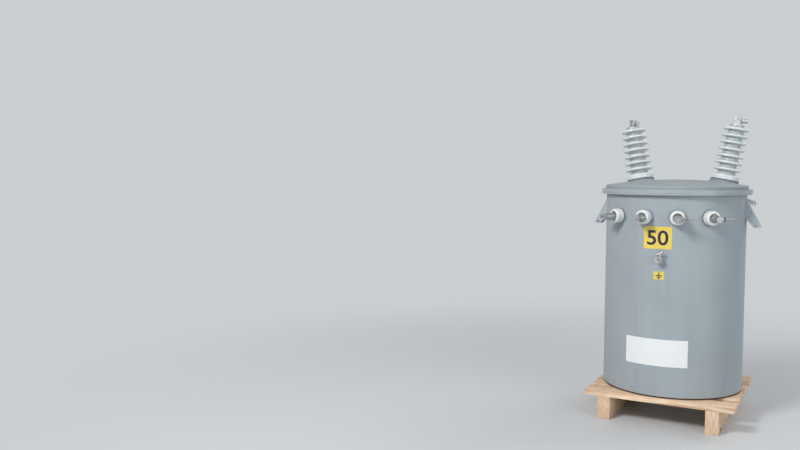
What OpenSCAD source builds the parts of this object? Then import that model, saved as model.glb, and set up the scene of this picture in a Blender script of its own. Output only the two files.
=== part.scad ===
/* [Tank] */
// Outside radius of the tank wall
tank_r = 260; // [220:5:330]
// Thickness of the tank wall
tank_wall = 3; // [2:0.5:5]
// Height of the tank wall, from the bottom plate to the rim ring
tank_h = 746; // [620:2:950]
// Thickness of the bottom plate, whose edge shows below the wall
bottom_t = 6; // [4:1:10]
// How far the bottom plate's edge sits inside the wall's outer face
bottom_inset = 1.5; // [0.5:0.5:2.5]

/* [Rim and cover] */
// How far the rim ring stands out from the wall
rim_reach = 13; // [10:1:18]
// Thickness of the rim ring
rim_t = 6; // [4:1:8]
// Thickness of the cover gasket
gasket_t = 4; // [2:0.5:6]
// Thickness of the pressed cover
cover_t = 3; // [2:0.5:4]
// Height of the cover's upright edge, from its flange to the shoulder
cover_edge_h = 20.5; // [16:0.5:30]
// How far the cover's upright edge stands out from the wall
cover_reach = 4; // [3:1:9]
// Rise of the dome above the shoulder
dome_rise = 22; // [15:0.5:40]
// Radius that rounds the shoulder
shoulder_r = 7; // [5:0.5:8]

/* [Clamp band] */
// Thickness of the clamp band
band_t = 3; // [2:0.5:4]
// Clearance inside the band, above and below what it grips
band_gap = 0.3; // [0.2:0.1:0.6]
// Gap between the band's two ends at the back
band_split = 26; // [20:2:40]
// Length of the ears that the band's bolt passes through
ear_l = 26; // [20:1:34]
// Radius of the band's bolt
band_bolt_r = 5; // [4:0.5:6]

/* [High voltage bushings] */
// Distance of a bushing's foot from the middle plane
hv_x = 163; // [140:1:180]
// Distance of a bushing's foot behind the tank's axis
hv_y = 120; // [60:5:130]
// Lean of a bushing from upright, in degrees
hv_lean = 11; // [0:0.5:16]
// Plan direction of the lean, in degrees from straight sideways towards the back
hv_turn = 22; // [0:1:45]
// Height of the pressed boss on the cover, at its middle
hv_boss_h = 10; // [10:1:24]
// Radius of the hollow curve that leads from the boss into the cover
hv_boss_flare = 6; // [5:1:10]
// Radius of the porcelain foot
hv_foot_r = 53; // [46:1:60]
// Height of the porcelain foot's edge
hv_foot_h = 19; // [16:1:26]
// Number of sheds
hv_sheds = 7; // [3:1:9]
// Distance between two sheds
hv_pitch = 26.6; // [22:0.1:34]
// Radius of the lowest shed
hv_shed_r = 53; // [46:1:60]
// How much smaller the top shed's radius is
hv_shed_taper = 4; // [0:0.5:8]
// Radius that rounds a shed's lip
hv_lip_r = 5; // [3:0.1:6]
// Radius of the porcelain core at its foot
hv_core_r = 33; // [28:1:36]
// How much smaller the core's radius is at the top shed
hv_core_taper = 4; // [0:0.5:8]

/* [High voltage terminals] */
// Radius of the stud
hv_stud_r = 7; // [5:0.5:9]
// Radius of the large washer on the porcelain
hv_washer_r = 27; // [20:1:28]
// Width of the clamp
hv_clamp_w = 29; // [24:1:34]
// Depth of the clamp
hv_clamp_d = 20; // [16:1:30]
// Height of the clamp
hv_clamp_h = 31; // [28:1:40]
// Radius of the bore that holds the wire
hv_wire_r = 3.5; // [2:0.5:4]
// Lean of a clamp back against its bushing, in degrees
hv_clamp_lean = 11; // [0:1:12]
// Turn of the left clamp about its stud, in degrees
hv_clamp_turn = -45; // [-60:1:60]

/* [Low voltage bushings] */
// Angle between two neighbouring bushings
lv_step = 25; // [18:1:30]
// Distance of the bushings' axes below the rim ring
lv_drop = 84; // [60:2:120]
// Radius of the porcelain collar
lv_collar_r = 27; // [22:1:32]
// Length of the porcelain collar outside its gasket
lv_collar_h = 28; // [24:1:36]
// Radius of the collar's rounded outer edge
lv_collar_edge = 5; // [3:0.5:6]
// Radius of the well that the terminal's barrel sits in
lv_well_r = 16; // [15:0.5:18]
// Depth of that well
lv_well_depth = 12; // [8:1:14]

/* [Low voltage terminals] */
// Radius of the terminal's barrel inside the well
lv_barrel_r = 14; // [10:0.5:14.5]
// Radius of the clamp body outside the well
lv_body_r = 15.5; // [13:0.5:17]
// Radius of the clamp body at its outer end
lv_end_r = 12; // [11:0.5:15]
// How far the clamp body stands out from the collar
lv_body_l = 39; // [36:1:50]
// Height of the clamp body between its flats
lv_body_h = 24; // [20:1:26]
// How far the clamp body's middle sits below the bushing's axis
lv_body_low = 2.5; // [0:0.5:3]
// Radius of the bore for a cable
lv_eye_r = 7.5; // [5:0.5:8]
// Radius of the clamp screw
lv_screw_r = 3; // [2.5:0.5:4]
// Reach of each clamp screw to the right of its bushing's axis, or to the left where below zero
lv_reach = [-42, 32, 59, 59];
// Distance of each screw's nut from its bushing's axis
lv_nut_at = [22, 18, 21, 26];
// Length of each screw's nut
lv_nut_t = [18, 8, 8, 8];

/* [Lifting lugs] */
// Distance of a lug's upper end below the rim ring
lug_drop = 30; // [20:2:60]
// Height of a lug
lug_h = 97; // [80:1:130]
// How far a lug reaches out from the wall
lug_reach = 51; // [40:1:70]
// Width of a lug
lug_w = 44; // [36:2:60]
// Thickness of the lug and hanger plates
plate_t = 5; // [4:0.5:8]
// Radius of the hole through the lug's cheeks
lug_eye_r = 4; // [3:0.5:4.5]

/* [Pole hangers] */
// Distance of the pole face from the tank wall
hanger_reach = 62; // [50:2:90]
// Width of a hanger bracket
hanger_w = 100; // [80:2:130]
// Height of a hanger bracket
hanger_h = 90; // [70:2:120]
// Distance between the two pole bolts
hanger_pitch = 286; // [220:2:340]
// Distance of the upper pole bolt below the rim ring
hanger_drop = 126; // [100:2:160]
// Width of a slot for a pole bolt
slot_w = 18; // [14:1:22]
// Length of a slot for a pole bolt, from end to end
slot_l = 44; // [30:2:54]

/* [Tank ground and relief valve] */
// Distance of the ground pad below the rim ring
ground_drop = 237; // [190:1:340]
// Plan angle of the ground pad from the front, to the right
ground_angle = 0; // [-8:0.5:8]
// Height of the ground pad's face above the wall
ground_pad_h = 11; // [8:1:20]
// Radius of the bore for a wire in the ground connector's sleeve
ground_eye_r = 3; // [2:0.5:3.5]
// Plan angle of the relief valve from the front, to the right
valve_angle = 107; // [98:1:150]
// Distance of the relief valve below the rim ring
valve_drop = 33; // [24:1:60]

/* [Pallet] */
// Length and width of the pallet
pallet_w = 540; // [500:10:700]
// Height of a runner
runner_h = 86; // [60:2:120]
// Width of a runner
runner_w = 47; // [38:1:70]
// Distance of a runner's middle from the pallet's middle
runner_x = 195; // [150:5:210]
// Thickness of a deck board
board_t = 20; // [15:1:28]
// Width of the narrow deck boards
board_narrow = 80; // [60:5:95]
// Width of the wide deck boards
board_wide = 115; // [96:1:125]

/* [Hidden] */
$fn = 96;

// Clearance between a curved face and the piece that seats on it
seat = 0.3;
// Overlap that makes a cut run clean through, or two joined shapes one
cut = 1;
// How far a welded piece is drawn into the tank before the tank's curve is cut from it
root = 20;
// Fineness of that curve, so that small pieces seat closely on the large tank
wall_fn = 256;

// Heights of the seats, from the ground up
deck_z = runner_h + board_t;
wall_z = deck_z + bottom_t;
rim_z = wall_z + tank_h;
gasket_z = rim_z + rim_t;
flange_z = gasket_z + gasket_t;
shoulder_z = flange_z + cover_edge_h;

// Radii of the tank, the cover, its flange and the band
tank_in_r = tank_r - tank_wall;
cover_r = tank_r + cover_reach;
flange_r = tank_r + rim_reach;
band_in_r = flange_r + 2;
band_out_r = band_in_r + band_t;
band_low = rim_z - band_gap - band_t;
band_high = flange_z + cover_t + band_gap + band_t;
band_bolt_y = band_out_r + ear_l / 2 + 1;
band_bolt_flats = 17;
band_head_h = 8;
// A shallow rib runs round the middle of the band
band_rib_w = 6;
band_rib_out = 1.2;

// The dome's sphere rises dome_rise over the cover's radius
dome_r = (cover_r * cover_r + dome_rise * dome_rise) / (2 * dome_rise);
dome_z = shoulder_z + dome_rise - dome_r;
dome_fn = 720;

// Seats of the high voltage bushings
hv_hole_r = hv_core_r + 2;
hv_gasket_t = 3;
hv_gasket_r = hv_foot_r - 2;
hv_boss_rim = 3;
hv_boss_step = 5;
hv_boss_neck = 2.5;
hv_boss_deep = 3 * hv_boss_h;
hv_foot_edge = 5;
hv_first_shed = hv_foot_h + 21;
hv_last_shed = hv_first_shed + (hv_sheds - 1) * hv_pitch;
hv_top = hv_last_shed + 14;
hv_core_top_r = hv_core_r - hv_core_taper;
hv_seat_z = dome_height(norm([hv_x, hv_y])) + hv_boss_h;
// Slopes of a shed's upper and lower face, and the radius of the hollow where they meet the core
hv_slope_up = 19;
hv_slope_low = 9;
hv_fillet_r = 4;
// Part of that radius at which the faces run into it
hv_fillet_in = 0.96;
hv_stud_deep = 28;
hv_washer_t = 3;
hv_clamp_z = hv_top + hv_washer_t;
hv_clamp_sink = 3;
hv_corner_r = 4;
hv_wire_x = 5;
hv_wire_z = 23;
hv_screw_z = 14;
hv_screw_neck_r = 4;
hv_screw_neck = 3;
hv_screw_head_r = 8;
hv_screw_head = 20;

// Seats of the low voltage bushings
lv_z = rim_z - lv_drop;
lv_ring_r = lv_collar_r + 4;
lv_seat_r = tank_r + 4;
lv_gasket_t = 3;
lv_foot_r = lv_seat_r + lv_gasket_t;
lv_face_r = lv_foot_r + lv_collar_h;
lv_shank_r = 15;
lv_hole_r = lv_shank_r + 2;
lv_shank_l = 40;
// The collar's base, the groove round it and the slightly smaller nose
lv_base_l = 13;
lv_groove_w = 2.5;
lv_groove_deep = 2.5;
lv_nose_in = 1;
lv_clear = 0.5;
lv_taper_l = 24;
lv_eye_out = lv_face_r + lv_body_l - 14;
lv_flange_r = 9;
lv_flange_t = 3;
lv_nut_flats = 15;

// Height of the upper pole bolt
hanger_z = rim_z - hanger_drop;

// Outline of a lifting lug
lug_top = rim_z - lug_drop;
lug_tip = 4;
lug_foot = 21;
lug_root = 0.64;
lug_eye_in = 14;
lug_eye_up = 9;
// Height over which the face plate slopes, and its thickness measured level
lug_run = lug_h - 1.5 * lug_tip;
lug_sheet = plate_t * norm([lug_reach - plate_t, lug_run]) / lug_run;

// Tank ground and relief valve
ground_z = rim_z - ground_drop;
ground_pad_r = 15;
ground_body_r = 13.5;
ground_body_h = 16;
dimple_r = 4;
dimple_deep = 4;
// The sleeve for the wire stands on a neck above the body
sleeve_r = 5;
sleeve_l = 26;
sleeve_x = 3.7;
sleeve_up = 22;
sleeve_tilt = 25;
sleeve_out = 9;
sleeve_neck_w = 8;
valve_r = 12;
valve_foot = 8;
valve_flats = 20;
valve_nut_t = 10;
valve_cap_r = 6;
valve_cap_l = 17;
pull_ring_r = 6.5;
pull_wire_r = 1.4;

// Height of the outer dome over a point at distance r from the tank's axis
function dome_height(r) = dome_z + sqrt(dome_r * dome_r - r * r);
// Plan angle of low voltage bushing i, counted from the left
function lv_angle(i) = (i - 2.5) * lv_step;
// Deck board i of four, narrow and wide in turn, with equal gaps
function board_w(i) = i % 2 == 0 ? board_narrow : board_wide;
function board_gap() = (pallet_w - 2 * board_narrow - 2 * board_wide) / 3;
function board_y(i) = i == 0 ? -pallet_w / 2 : board_y(i - 1) + board_w(i - 1) + board_gap();

// Places a piece on the wall: its Z points out of the tank, its Y up and its X to the right
module on_wall(angle, height) {
    translate([0, 0, height]) rotate([0, 0, angle]) rotate([90, 0, 0]) children();
}

// Places a piece on the seat of a high voltage boss, with Z along the bushing
module on_boss(side) {
    mirror([side < 0 ? 1 : 0, 0, 0])
        translate([hv_x, hv_y, hv_seat_z]) rotate([0, 0, hv_turn]) rotate([0, hv_lean, 0]) children();
}

// Cuts the tank's round wall out of a piece that is welded to it
module outside_wall() {
    difference() {
        children();
        translate([0, 0, wall_z]) cylinder(r = tank_r + seat, h = tank_h, $fn = wall_fn);
    }
}

// A hexagon nut or bolt head that stands on z = 0
module hexagon(across_flats, height) {
    cylinder(r = across_flats / sqrt(3), h = height, $fn = 6);
}

// A ring that stands on z = 0
module ring(outer, inner, height) {
    difference() {
        cylinder(r = outer, h = height);
        translate([0, 0, -cut]) cylinder(r = inner, h = height + 2 * cut);
    }
}

// A block with rounded upright edges, centred on the Z axis
module rounded_block(width, depth, corner, height) {
    inner_w = width - 2 * corner;
    inner_d = depth - 2 * corner;
    linear_extrude(height = height) {
        square([width, inner_d], center = true);
        square([inner_w, depth], center = true);
        for (x = [-inner_w / 2, inner_w / 2], y = [-inner_d / 2, inner_d / 2])
            translate([x, y]) circle(r = corner, $fn = 32);
    }
}

// Pallet

module runner(side) {
    color("burlywood")
        translate([side * runner_x - runner_w / 2, -pallet_w / 2, 0])
            cube([runner_w, pallet_w, runner_h]);
}

module deck_board(i) {
    color("burlywood")
        translate([-pallet_w / 2, board_y(i), runner_h])
            cube([pallet_w, board_w(i), board_t]);
}

// Tank

module tank_bottom() {
    color("#5a4a3c")
        translate([0, 0, deck_z]) cylinder(r = tank_r - bottom_inset, h = bottom_t);
}

// The wall with its four welded seat rings, bored for the low voltage bushings
module tank_shell() {
    color("#9ba6ae") difference() {
        union() {
            translate([0, 0, wall_z]) cylinder(r = tank_r, h = tank_h);
            for (i = [1:4])
                on_wall(lv_angle(i), lv_z) cylinder(r = lv_ring_r, h = lv_seat_r);
        }
        translate([0, 0, wall_z - cut]) cylinder(r = tank_in_r, h = tank_h + 2 * cut);
        for (i = [1:4])
            on_wall(lv_angle(i), lv_z) cylinder(r = lv_hole_r, h = lv_seat_r + cut);
    }
}

module tank_rim() {
    color("#9ba6ae")
        translate([0, 0, rim_z]) ring(flange_r, tank_in_r, rim_t);
}

module cover_gasket() {
    color("#3a3a3c")
        translate([0, 0, gasket_z]) ring(flange_r - 1, tank_in_r, gasket_t);
}

// Half section of a domed lid that fills everything under radius r, with a rounded shoulder
module lid_section(r, cap_r, corner_r) {
    inner_x = r - corner_r;
    inner_z = dome_z + sqrt(pow(cap_r - corner_r, 2) - inner_x * inner_x);
    tangent = cap_r / (cap_r - corner_r);
    tangent_x = inner_x * tangent;
    tangent_z = dome_z + (inner_z - dome_z) * tangent;
    difference() {
        intersection() {
            translate([0, flange_z]) square([r, dome_r]);
            translate([0, dome_z]) circle(r = cap_r, $fn = dome_fn);
        }
        polygon([
            [inner_x, inner_z],
            [r + cut, inner_z],
            [r + cut, tangent_z + cut],
            [tangent_x, tangent_z + cut],
            [tangent_x, tangent_z]
        ]);
    }
    translate([inner_x, inner_z]) circle(r = corner_r, $fn = 48);
}

module cover_section() {
    difference() {
        lid_section(cover_r, dome_r, shoulder_r);
        translate([0, -cut]) lid_section(cover_r - cover_t, dome_r - cover_t, shoulder_r - cover_t);
        translate([0, flange_z - cut]) square([cover_r - cover_t, 2 * cut]);
    }
    translate([cover_r - cut, flange_z]) square([flange_r - cover_r + cut, cover_t]);
}

module cover() {
    color("#a3aeb5") difference() {
        rotate_extrude($fn = 180) cover_section();
        for (side = [-1, 1])
            on_boss(side) translate([0, 0, -hv_boss_deep]) cylinder(r = hv_hole_r, h = hv_boss_deep + hv_boss_h);
    }
}

// The band's channel section grips the rim, the gasket and the cover's flange
module band_section() {
    lip_r = tank_r + 2;
    difference() {
        union() {
            translate([lip_r, band_low]) square([band_out_r - lip_r, band_high - band_low]);
            translate([band_in_r, (band_low + band_high - band_rib_w) / 2])
                square([band_t + band_rib_out, band_rib_w]);
        }
        translate([tank_r, band_low + band_t])
            square([band_in_r - tank_r, band_high - band_low - 2 * band_t]);
        translate([tank_r, band_high - band_t - cut]) square([cover_r - tank_r + seat, band_t + 2 * cut]);
    }
}

module band_ear(side) {
    ear_x = side > 0 ? band_split / 2 : -band_split / 2 - plate_t;
    difference() {
        translate([ear_x, band_in_r, band_low]) cube([plate_t, band_t + ear_l, band_high - band_low]);
        translate([ear_x - cut, band_bolt_y, (band_low + band_high) / 2])
            rotate([0, 90, 0]) cylinder(r = band_bolt_r + seat, h = plate_t + 2 * cut);
    }
}

module cover_band() {
    color("#9ba6ae") union() {
        difference() {
            rotate_extrude($fn = 180) band_section();
            translate([-band_split / 2, 0, band_low - cut])
                cube([band_split, 2 * tank_r, band_high - band_low + 2 * cut]);
        }
        band_ear(1);
        band_ear(-1);
    }
}

module cover_band_bolt() {
    reach = band_split / 2 + plate_t;
    color("silver") translate([0, band_bolt_y, (band_low + band_high) / 2]) rotate([0, 90, 0]) {
        translate([0, 0, -reach - band_head_h]) hexagon(band_bolt_flats, band_head_h);
        translate([0, 0, -reach - cut]) cylinder(r = band_bolt_r, h = 2 * (reach + band_head_h));
        translate([0, 0, reach]) hexagon(band_bolt_flats, band_head_h);
    }
}

// High voltage bushings

// Half section of a boss: a stem that curves out into the cover, a neck, and a rim under the gasket
module boss_section() {
    stem_r = hv_foot_r + 1;
    difference() {
        translate([hv_hole_r, -hv_boss_deep])
            square([stem_r + hv_boss_flare - hv_hole_r, hv_boss_deep - hv_boss_step]);
        translate([stem_r + hv_boss_flare, -hv_boss_step]) circle(r = hv_boss_flare, $fn = 48);
    }
    translate([hv_hole_r, -hv_boss_step - cut])
        square([stem_r - hv_boss_neck - hv_hole_r, hv_boss_step]);
    translate([hv_hole_r, -hv_boss_rim]) square([stem_r - hv_hole_r, hv_boss_rim]);
}

module hv_boss(side) {
    color("#9ba6ae") difference() {
        intersection() {
            on_boss(side) rotate_extrude() boss_section();
            translate([0, 0, flange_z]) cylinder(r = cover_r - shoulder_r, h = 4 * hv_boss_deep);
        }
        translate([0, 0, dome_z]) sphere(r = dome_r + seat, $fn = dome_fn);
    }
}

module hv_gasket(side) {
    color("#2c2c2e")
        on_boss(side) ring(hv_gasket_r, hv_hole_r, hv_gasket_t);
}

// Radius of the porcelain core under shed i, and the middle of that shed's lip in the half section
function core_r(i) = hv_core_r - hv_core_taper * i / (hv_sheds - 1);
function lip(i) = [
    hv_shed_r - hv_shed_taper * i / (hv_sheds - 1) - hv_lip_r,
    hv_first_shed + i * hv_pitch
];

// Half section of the hollow between two round edges, where a fillet joins both faces to the core
module hollow_section(root_r, low, low_r, high) {
    outer_x = low[0] + hv_lip_r + cut;
    up = [sin(hv_slope_up), cos(hv_slope_up)];
    down = [-sin(hv_slope_low), -cos(hv_slope_low)];
    low_start = low + low_r * up;
    high_start = high + hv_lip_r * down;
    low_run = (low_start[0] + hv_fillet_r * up[0] - root_r - hv_fillet_r) / cos(hv_slope_up);
    high_run = (high_start[0] + hv_fillet_r * down[0] - root_r - hv_fillet_r) / cos(hv_slope_low);
    low_turn = low_start + low_run * [-up[1], up[0]] + hv_fillet_r * up;
    high_turn = high_start + high_run * [down[1], -down[0]] + hv_fillet_r * down;
    polygon([
        [outer_x, low_start[1]],
        low_start,
        low_turn - hv_fillet_in * hv_fillet_r * up,
        low_turn,
        high_turn,
        high_turn - hv_fillet_in * hv_fillet_r * down,
        high_start,
        [outer_x, high_start[1]]
    ]);
    translate([root_r, low_turn[1]]) square([hv_fillet_r, high_turn[1] - low_turn[1]]);
    for (p = [low_turn, high_turn])
        translate(p) circle(r = hv_fillet_r, $fn = 32);
}

module hv_porcelain_section() {
    last = hv_sheds - 1;
    last_start = lip(last) + hv_lip_r * [sin(hv_slope_up), cos(hv_slope_up)];
    neck_r = core_r(last) - 2;
    foot_turn = [hv_foot_r - hv_foot_edge, hv_foot_h - hv_foot_edge];
    difference() {
        polygon([
            [0, 0],
            [lip(0)[0], 0],
            lip(0),
            lip(last),
            last_start,
            [neck_r, last_start[1] + (last_start[0] - neck_r) * tan(hv_slope_up)],
            [hv_washer_r - 1, hv_top],
            [0, hv_top]
        ]);
        hollow_section(core_r(0), foot_turn, hv_foot_edge, lip(0));
        for (i = [1:last])
            hollow_section(core_r(i), lip(i - 1), hv_lip_r, lip(i));
    }
    square([hv_foot_r, hv_foot_h - hv_foot_edge]);
    translate(foot_turn) circle(r = hv_foot_edge, $fn = 32);
    for (i = [0:last])
        translate(lip(i)) circle(r = hv_lip_r, $fn = 32);
}

module hv_bushing(side) {
    hole = hv_stud_deep + 2;
    color("#d9dfdf") on_boss(side) translate([0, 0, hv_gasket_t]) difference() {
        union() {
            rotate_extrude() hv_porcelain_section();
            translate([0, 0, -hv_boss_deep]) cylinder(r = hv_core_r - 2, h = hv_boss_deep + cut);
        }
        translate([0, 0, hv_top - hole]) cylinder(r = hv_stud_r + seat, h = hole + cut);
    }
}

// The stud with its large washer
module hv_stud(side) {
    color("silver") on_boss(side) translate([0, 0, hv_gasket_t + hv_top]) {
        translate([0, 0, -hv_stud_deep]) cylinder(r = hv_stud_r, h = hv_stud_deep + cut);
        cylinder(r = hv_washer_r, h = hv_washer_t);
    }
}

// A clamp block that stands upright on the leaning bushing: the wire lies in its bore, and a screw with
// a long head holds it from the right
module clamp_block() {
    half = hv_clamp_w / 2;
    difference() {
        union() {
            translate([0, 0, -hv_clamp_sink])
                rounded_block(hv_clamp_w, hv_clamp_d, hv_corner_r, hv_clamp_h + hv_clamp_sink);
            translate([half - cut, 0, hv_screw_z]) rotate([0, 90, 0])
                cylinder(r = hv_screw_neck_r, h = hv_screw_neck + 2 * cut);
            translate([half + hv_screw_neck, 0, hv_screw_z]) rotate([0, 90, 0])
                cylinder(r = hv_screw_head_r, h = hv_screw_head);
        }
        translate([hv_wire_x, hv_clamp_d, hv_wire_z])
            rotate([90, 0, 0]) cylinder(r = hv_wire_r, h = 2 * hv_clamp_d);
    }
}

module hv_terminal(side) {
    color("silver") on_boss(side) translate([0, 0, hv_gasket_t + hv_clamp_z]) difference() {
        rotate([0, 0, -hv_turn]) rotate([0, -hv_clamp_lean, 0]) mirror([side < 0 ? 1 : 0, 0, 0])
            rotate([0, 0, side < 0 ? hv_clamp_turn : 0]) clamp_block();
        translate([0, 0, -hv_clamp_h]) cylinder(r = 2 * hv_clamp_w, h = hv_clamp_h);
    }
}

// Low voltage bushings

module lv_gasket(i) {
    color("#6c7277") on_wall(lv_angle(i), lv_z)
        translate([0, 0, lv_seat_r]) ring(lv_collar_r + 1, lv_hole_r, lv_gasket_t);
}

module lv_collar_section() {
    nose_r = lv_collar_r - lv_nose_in;
    nose_l = lv_base_l + lv_groove_w;
    difference() {
        union() {
            square([lv_collar_r, lv_base_l]);
            square([lv_collar_r - lv_groove_deep, lv_collar_h - lv_collar_edge]);
            translate([0, nose_l]) square([nose_r, lv_collar_h - lv_collar_edge - nose_l]);
            square([nose_r - lv_collar_edge, lv_collar_h]);
            translate([nose_r - lv_collar_edge, lv_collar_h - lv_collar_edge])
                circle(r = lv_collar_edge, $fn = 48);
        }
        translate([0, lv_collar_h - lv_well_depth]) square([lv_well_r, lv_well_depth + cut]);
    }
}

module lv_bushing(i) {
    color("#dde2e2") on_wall(lv_angle(i), lv_z) translate([0, 0, lv_foot_r]) {
        rotate_extrude() lv_collar_section();
        translate([0, 0, -lv_shank_l]) cylinder(r = lv_shank_r, h = lv_shank_l + cut);
    }
}

// The clamp body: a barrel with a tapering end, flat above and below
module lv_body() {
    straight = lv_body_l - lv_taper_l;
    intersection() {
        translate([0, 0, lv_face_r]) {
            translate([0, 0, lv_clear]) cylinder(r = lv_body_r, h = straight - lv_clear);
            translate([0, 0, straight]) cylinder(r1 = lv_body_r, r2 = lv_end_r, h = lv_taper_l);
        }
        translate([-lv_body_r, -lv_body_h / 2, lv_face_r])
            cube([2 * lv_body_r, lv_body_h, lv_body_l]);
    }
}

// A barrel in the collar's well carries the clamp body: the cable goes up through its bore, and the screw
// from the side holds it
module lv_terminal(i) {
    reach = abs(lv_reach[i - 1]);
    color("silver") on_wall(lv_angle(i), lv_z) {
        translate([0, 0, lv_face_r - lv_well_depth])
            cylinder(r = lv_barrel_r, h = lv_well_depth + 2 * cut);
        translate([0, -lv_body_low, 0]) difference() {
            union() {
                lv_body();
                translate([0, 0, lv_eye_out]) rotate([0, sign(lv_reach[i - 1]) * 90, 0]) {
                    cylinder(r = lv_screw_r, h = reach);
                    cylinder(r = lv_flange_r, h = lv_body_r + lv_flange_t);
                    translate([0, 0, lv_nut_at[i - 1]]) hexagon(lv_nut_flats, lv_nut_t[i - 1]);
                }
            }
            translate([0, 0, lv_eye_out]) rotate([90, 0, 0])
                cylinder(r = lv_eye_r, h = 2 * lv_body_h, center = true);
        }
    }
}

// Lifting lugs, a channel whose cheeks stand on the wall

module lug_cheek_section() {
    polygon([
        [tank_r - root, lug_top],
        [tank_r + plate_t, lug_top],
        [tank_r + lug_reach, lug_top - lug_run],
        [tank_r + lug_reach - lug_tip, lug_top - lug_h],
        [tank_r + lug_reach - lug_foot, lug_top - lug_h],
        [tank_r, lug_top - lug_root * lug_h],
        [tank_r - root, lug_top - lug_root * lug_h]
    ]);
}

module lug_face_section() {
    polygon([
        [tank_r + plate_t - lug_sheet, lug_top],
        [tank_r + plate_t, lug_top],
        [tank_r + lug_reach, lug_top - lug_run],
        [tank_r + lug_reach - lug_tip, lug_top - lug_h],
        [tank_r + lug_reach - lug_sheet, lug_top - lug_run]
    ]);
}

module lifting_lug(side) {
    color("#a3aeb5") mirror([side < 0 ? 1 : 0, 0, 0]) outside_wall() difference() {
        union() {
            for (y = [-lug_w / 2, lug_w / 2 - plate_t])
                translate([0, y + plate_t, 0]) rotate([90, 0, 0])
                    linear_extrude(height = plate_t) lug_cheek_section();
            translate([0, lug_w / 2, 0]) rotate([90, 0, 0])
                linear_extrude(height = lug_w) lug_face_section();
        }
        translate([tank_r + lug_reach - lug_eye_in, lug_w, lug_top - lug_h + lug_eye_up])
            rotate([90, 0, 0]) cylinder(r = lug_eye_r, h = 2 * lug_w);
    }
}

// Pole hangers, a bent plate with a slotted web and two legs on the wall

module pole_slot() {
    middle = (slot_l - slot_w) / 2;
    linear_extrude(height = plate_t + 2 * cut) {
        square([slot_w, 2 * middle], center = true);
        for (end = [-middle, middle])
            translate([0, end]) circle(r = slot_w / 2);
    }
}

module hanger(height) {
    low = height - hanger_h / 2;
    color("#9ba6ae") outside_wall() difference() {
        union() {
            translate([-hanger_w / 2, tank_r + hanger_reach - plate_t, low])
                cube([hanger_w, plate_t, hanger_h]);
            for (x = [-hanger_w / 2, hanger_w / 2 - plate_t])
                translate([x, tank_r - root, low])
                    cube([plate_t, hanger_reach + root - cut, hanger_h]);
        }
        translate([0, tank_r + hanger_reach + cut, height]) rotate([90, 0, 0]) pole_slot();
    }
}

// Tank ground and relief valve

module ground_pad() {
    color("#9ba6ae") outside_wall() on_wall(ground_angle, ground_z)
        translate([0, 0, tank_r - root]) cylinder(r = ground_pad_r, h = root + ground_pad_h);
}

// A round body with a dimple, and above it a slanting sleeve for the ground wire
module ground_connector() {
    color("silver") on_wall(ground_angle, ground_z) translate([0, 0, tank_r + ground_pad_h]) difference() {
        union() {
            cylinder(r = ground_body_r, h = ground_body_h);
            translate([sleeve_x - sleeve_neck_w / 2, 0, sleeve_out - sleeve_neck_w / 2])
                cube([sleeve_neck_w, sleeve_up, sleeve_neck_w]);
            on_sleeve() cylinder(r = sleeve_r, h = sleeve_l, center = true);
        }
        on_sleeve() cylinder(r = ground_eye_r, h = 2 * sleeve_l, center = true);
        translate([0, 0, ground_body_h - dimple_deep]) cylinder(r = dimple_r, h = dimple_deep + cut);
    }
}

module on_sleeve() {
    translate([sleeve_x, sleeve_up, sleeve_out]) rotate([0, 0, sleeve_tilt]) rotate([0, 90, 0]) children();
}

// The valve's nut and cap, with the ring that opens it by hand
module relief_valve() {
    ring_out = valve_foot + valve_nut_t + valve_cap_l - valve_cap_r;
    color("silver") outside_wall() on_wall(valve_angle, rim_z - valve_drop) translate([0, 0, tank_r]) {
        translate([0, 0, -root]) cylinder(r = valve_r, h = root + valve_foot);
        translate([0, 0, valve_foot - cut]) hexagon(valve_flats, valve_nut_t);
        translate([0, 0, valve_foot + valve_nut_t - 2 * cut]) cylinder(r = valve_cap_r, h = valve_cap_l);
        translate([0, -pull_ring_r, ring_out]) rotate([0, 90, 0])
            rotate_extrude() translate([pull_ring_r, 0]) circle(r = pull_wire_r, $fn = 24);
    }
}

runner(-1);  // pallet_runner_left
runner(1);  // pallet_runner_right
deck_board(0);  // deck_board_front
deck_board(1);  // deck_board_second
deck_board(2);  // deck_board_third
deck_board(3);  // deck_board_rear
tank_bottom();
tank_shell();
tank_rim();
cover_gasket();
cover();
cover_band();
cover_band_bolt();
hv_boss(-1);  // hv_boss_left
hv_boss(1);  // hv_boss_right
hv_gasket(-1);  // hv_gasket_left
hv_gasket(1);  // hv_gasket_right
hv_bushing(-1);  // hv_bushing_left
hv_bushing(1);  // hv_bushing_right
hv_stud(-1);  // hv_stud_left
hv_stud(1);  // hv_stud_right
hv_terminal(-1);  // hv_terminal_left
hv_terminal(1);  // hv_terminal_right
lv_gasket(1);  // lv_gasket_1
lv_gasket(2);  // lv_gasket_2
lv_gasket(3);  // lv_gasket_3
lv_gasket(4);  // lv_gasket_4
lv_bushing(1);  // lv_bushing_1
lv_bushing(2);  // lv_bushing_2
lv_bushing(3);  // lv_bushing_3
lv_bushing(4);  // lv_bushing_4
lv_terminal(1);  // lv_terminal_1
lv_terminal(2);  // lv_terminal_2
lv_terminal(3);  // lv_terminal_3
lv_terminal(4);  // lv_terminal_4
lifting_lug(-1);  // lifting_lug_left
lifting_lug(1);  // lifting_lug_right
hanger(hanger_z);  // hanger_upper
hanger(hanger_z - hanger_pitch);  // hanger_lower
ground_pad();
ground_connector();
relief_valve();
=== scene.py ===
import math

import bmesh
import bpy
from mathutils import Matrix, Vector


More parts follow.
